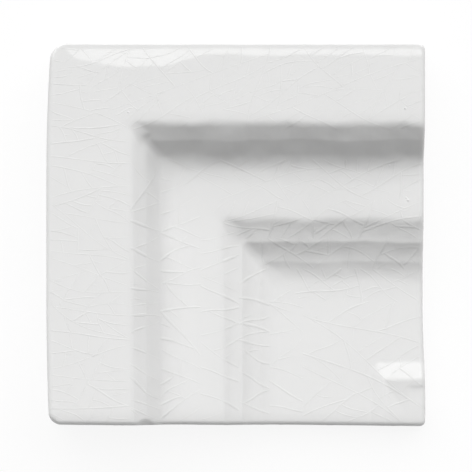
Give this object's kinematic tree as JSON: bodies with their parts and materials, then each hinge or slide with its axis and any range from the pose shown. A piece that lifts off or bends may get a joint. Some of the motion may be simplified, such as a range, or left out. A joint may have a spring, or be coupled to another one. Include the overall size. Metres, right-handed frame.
{
  "type": "ceramic corner insert tile",
  "caption": "Square glazed ceramic corner insert whose run of stepped mouldings turns a mitred corner, down to a sunk panel and the corner of a raised field.",
  "frame": {"origin": "middle of the flat back, which lies on the floor", "axes": "+Z out of the face, -X the left outer edge and +Y the upper outer edge as seen from the face, so the mitre runs from the outer corner at -X +Y to the inner corner at +X -Y"},
  "size_m": [0.075, 0.075, 0.019],
  "materials": {
    "crackle_glaze": "glossy white glaze with fine crackle, bare matt body on the back"
  },
  "bodies": {
    "root": {"corner_insert_tile": "crackle_glaze"}
  },
  "joints": []
}
